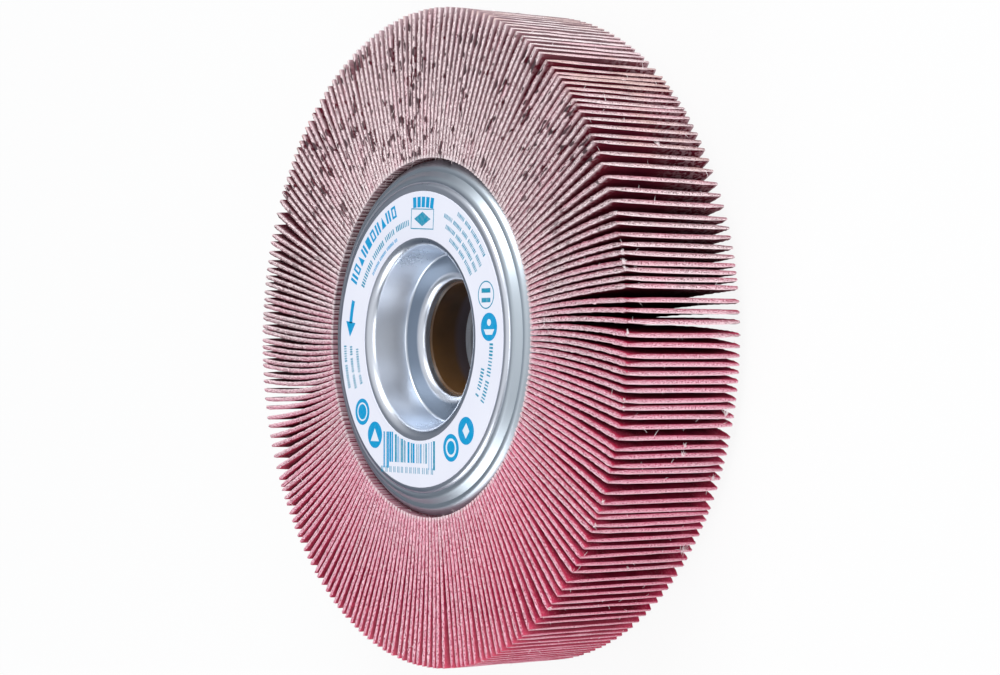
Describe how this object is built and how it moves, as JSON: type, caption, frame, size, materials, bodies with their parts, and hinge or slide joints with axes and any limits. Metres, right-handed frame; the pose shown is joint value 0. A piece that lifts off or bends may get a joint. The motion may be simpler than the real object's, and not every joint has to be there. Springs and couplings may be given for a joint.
{
  "type": "flap wheel",
  "caption": "Abrasive flap wheel: cloth flaps standing radially round a cast core between pressed steel flanges, with a sleeved bore.",
  "frame": {"origin": "centre of the bore, half way through the width of the flaps", "axes": "+Z along the wheel's axis, out of the labelled flange; +X points to the top of the label"},
  "size_m": [0.15, 0.15, 0.0339],
  "materials": {
    "flange_steel": "bright zinc plated sheet",
    "sleeve": "brown, dull",
    "resin": "cast resin",
    "label_paper": "white printed paper",
    "abrasive_cloth": "coated abrasive cloth, red-brown grain, pale pink cut edges"
  },
  "bodies": {
    "root": {"front_flange": "flange_steel", "back_flange": "flange_steel", "core_sleeve": "sleeve", "cast_core": "resin", "label": "label_paper", "flaps_01": "abrasive_cloth", "flaps_02": "abrasive_cloth", "flaps_03": "abrasive_cloth", "flaps_04": "abrasive_cloth", "flaps_05": "abrasive_cloth", "flaps_06": "abrasive_cloth", "flaps_07": "abrasive_cloth", "flaps_08": "abrasive_cloth", "flaps_09": "abrasive_cloth", "flaps_10": "abrasive_cloth", "flaps_11": "abrasive_cloth", "flaps_12": "abrasive_cloth", "flaps_13": "abrasive_cloth", "flaps_14": "abrasive_cloth", "flaps_15": "abrasive_cloth", "flaps_16": "abrasive_cloth", "flaps_17": "abrasive_cloth", "flaps_18": "abrasive_cloth", "flaps_19": "abrasive_cloth", "flaps_20": "abrasive_cloth", "flaps_21": "abrasive_cloth", "flaps_22": "abrasive_cloth", "flaps_23": "abrasive_cloth", "flaps_24": "abrasive_cloth", "flaps_25": "abrasive_cloth", "flaps_26": "abrasive_cloth", "flaps_27": "abrasive_cloth", "flaps_28": "abrasive_cloth", "flaps_29": "abrasive_cloth", "flaps_30": "abrasive_cloth", "flaps_31": "abrasive_cloth", "flaps_32": "abrasive_cloth", "flaps_33": "abrasive_cloth", "flaps_34": "abrasive_cloth", "flaps_35": "abrasive_cloth", "flaps_36": "abrasive_cloth"}
  },
  "joints": []
}
